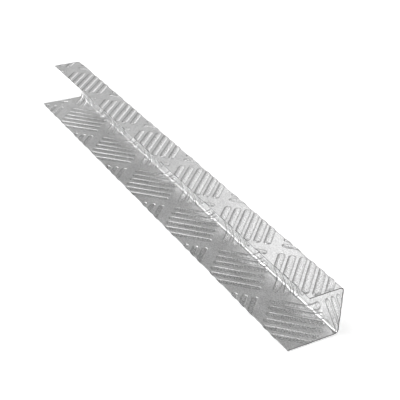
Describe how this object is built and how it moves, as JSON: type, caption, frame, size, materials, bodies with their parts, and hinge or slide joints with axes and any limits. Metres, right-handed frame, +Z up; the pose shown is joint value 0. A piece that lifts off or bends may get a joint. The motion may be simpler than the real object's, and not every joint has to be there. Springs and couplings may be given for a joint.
{
  "type": "metal edge profile",
  "caption": "Strip of tread-pattern sheet metal folded into an uneven channel, with a short upper and a long lower flange, for capping and guarding a slab edge.",
  "frame": {"origin": "under the middle of the strip's box, on the surface that it lies on", "axes": "+X along the length, the web stands at +Y and the channel opens towards -Y, +Z up with the long flange below"},
  "size_m": [0.446, 0.0434, 0.041],
  "materials": {
    "tread_sheet": "satin mill finish, raised bars slightly brighter"
  },
  "bodies": {
    "root": {"edge_profile": "tread_sheet"}
  },
  "joints": []
}
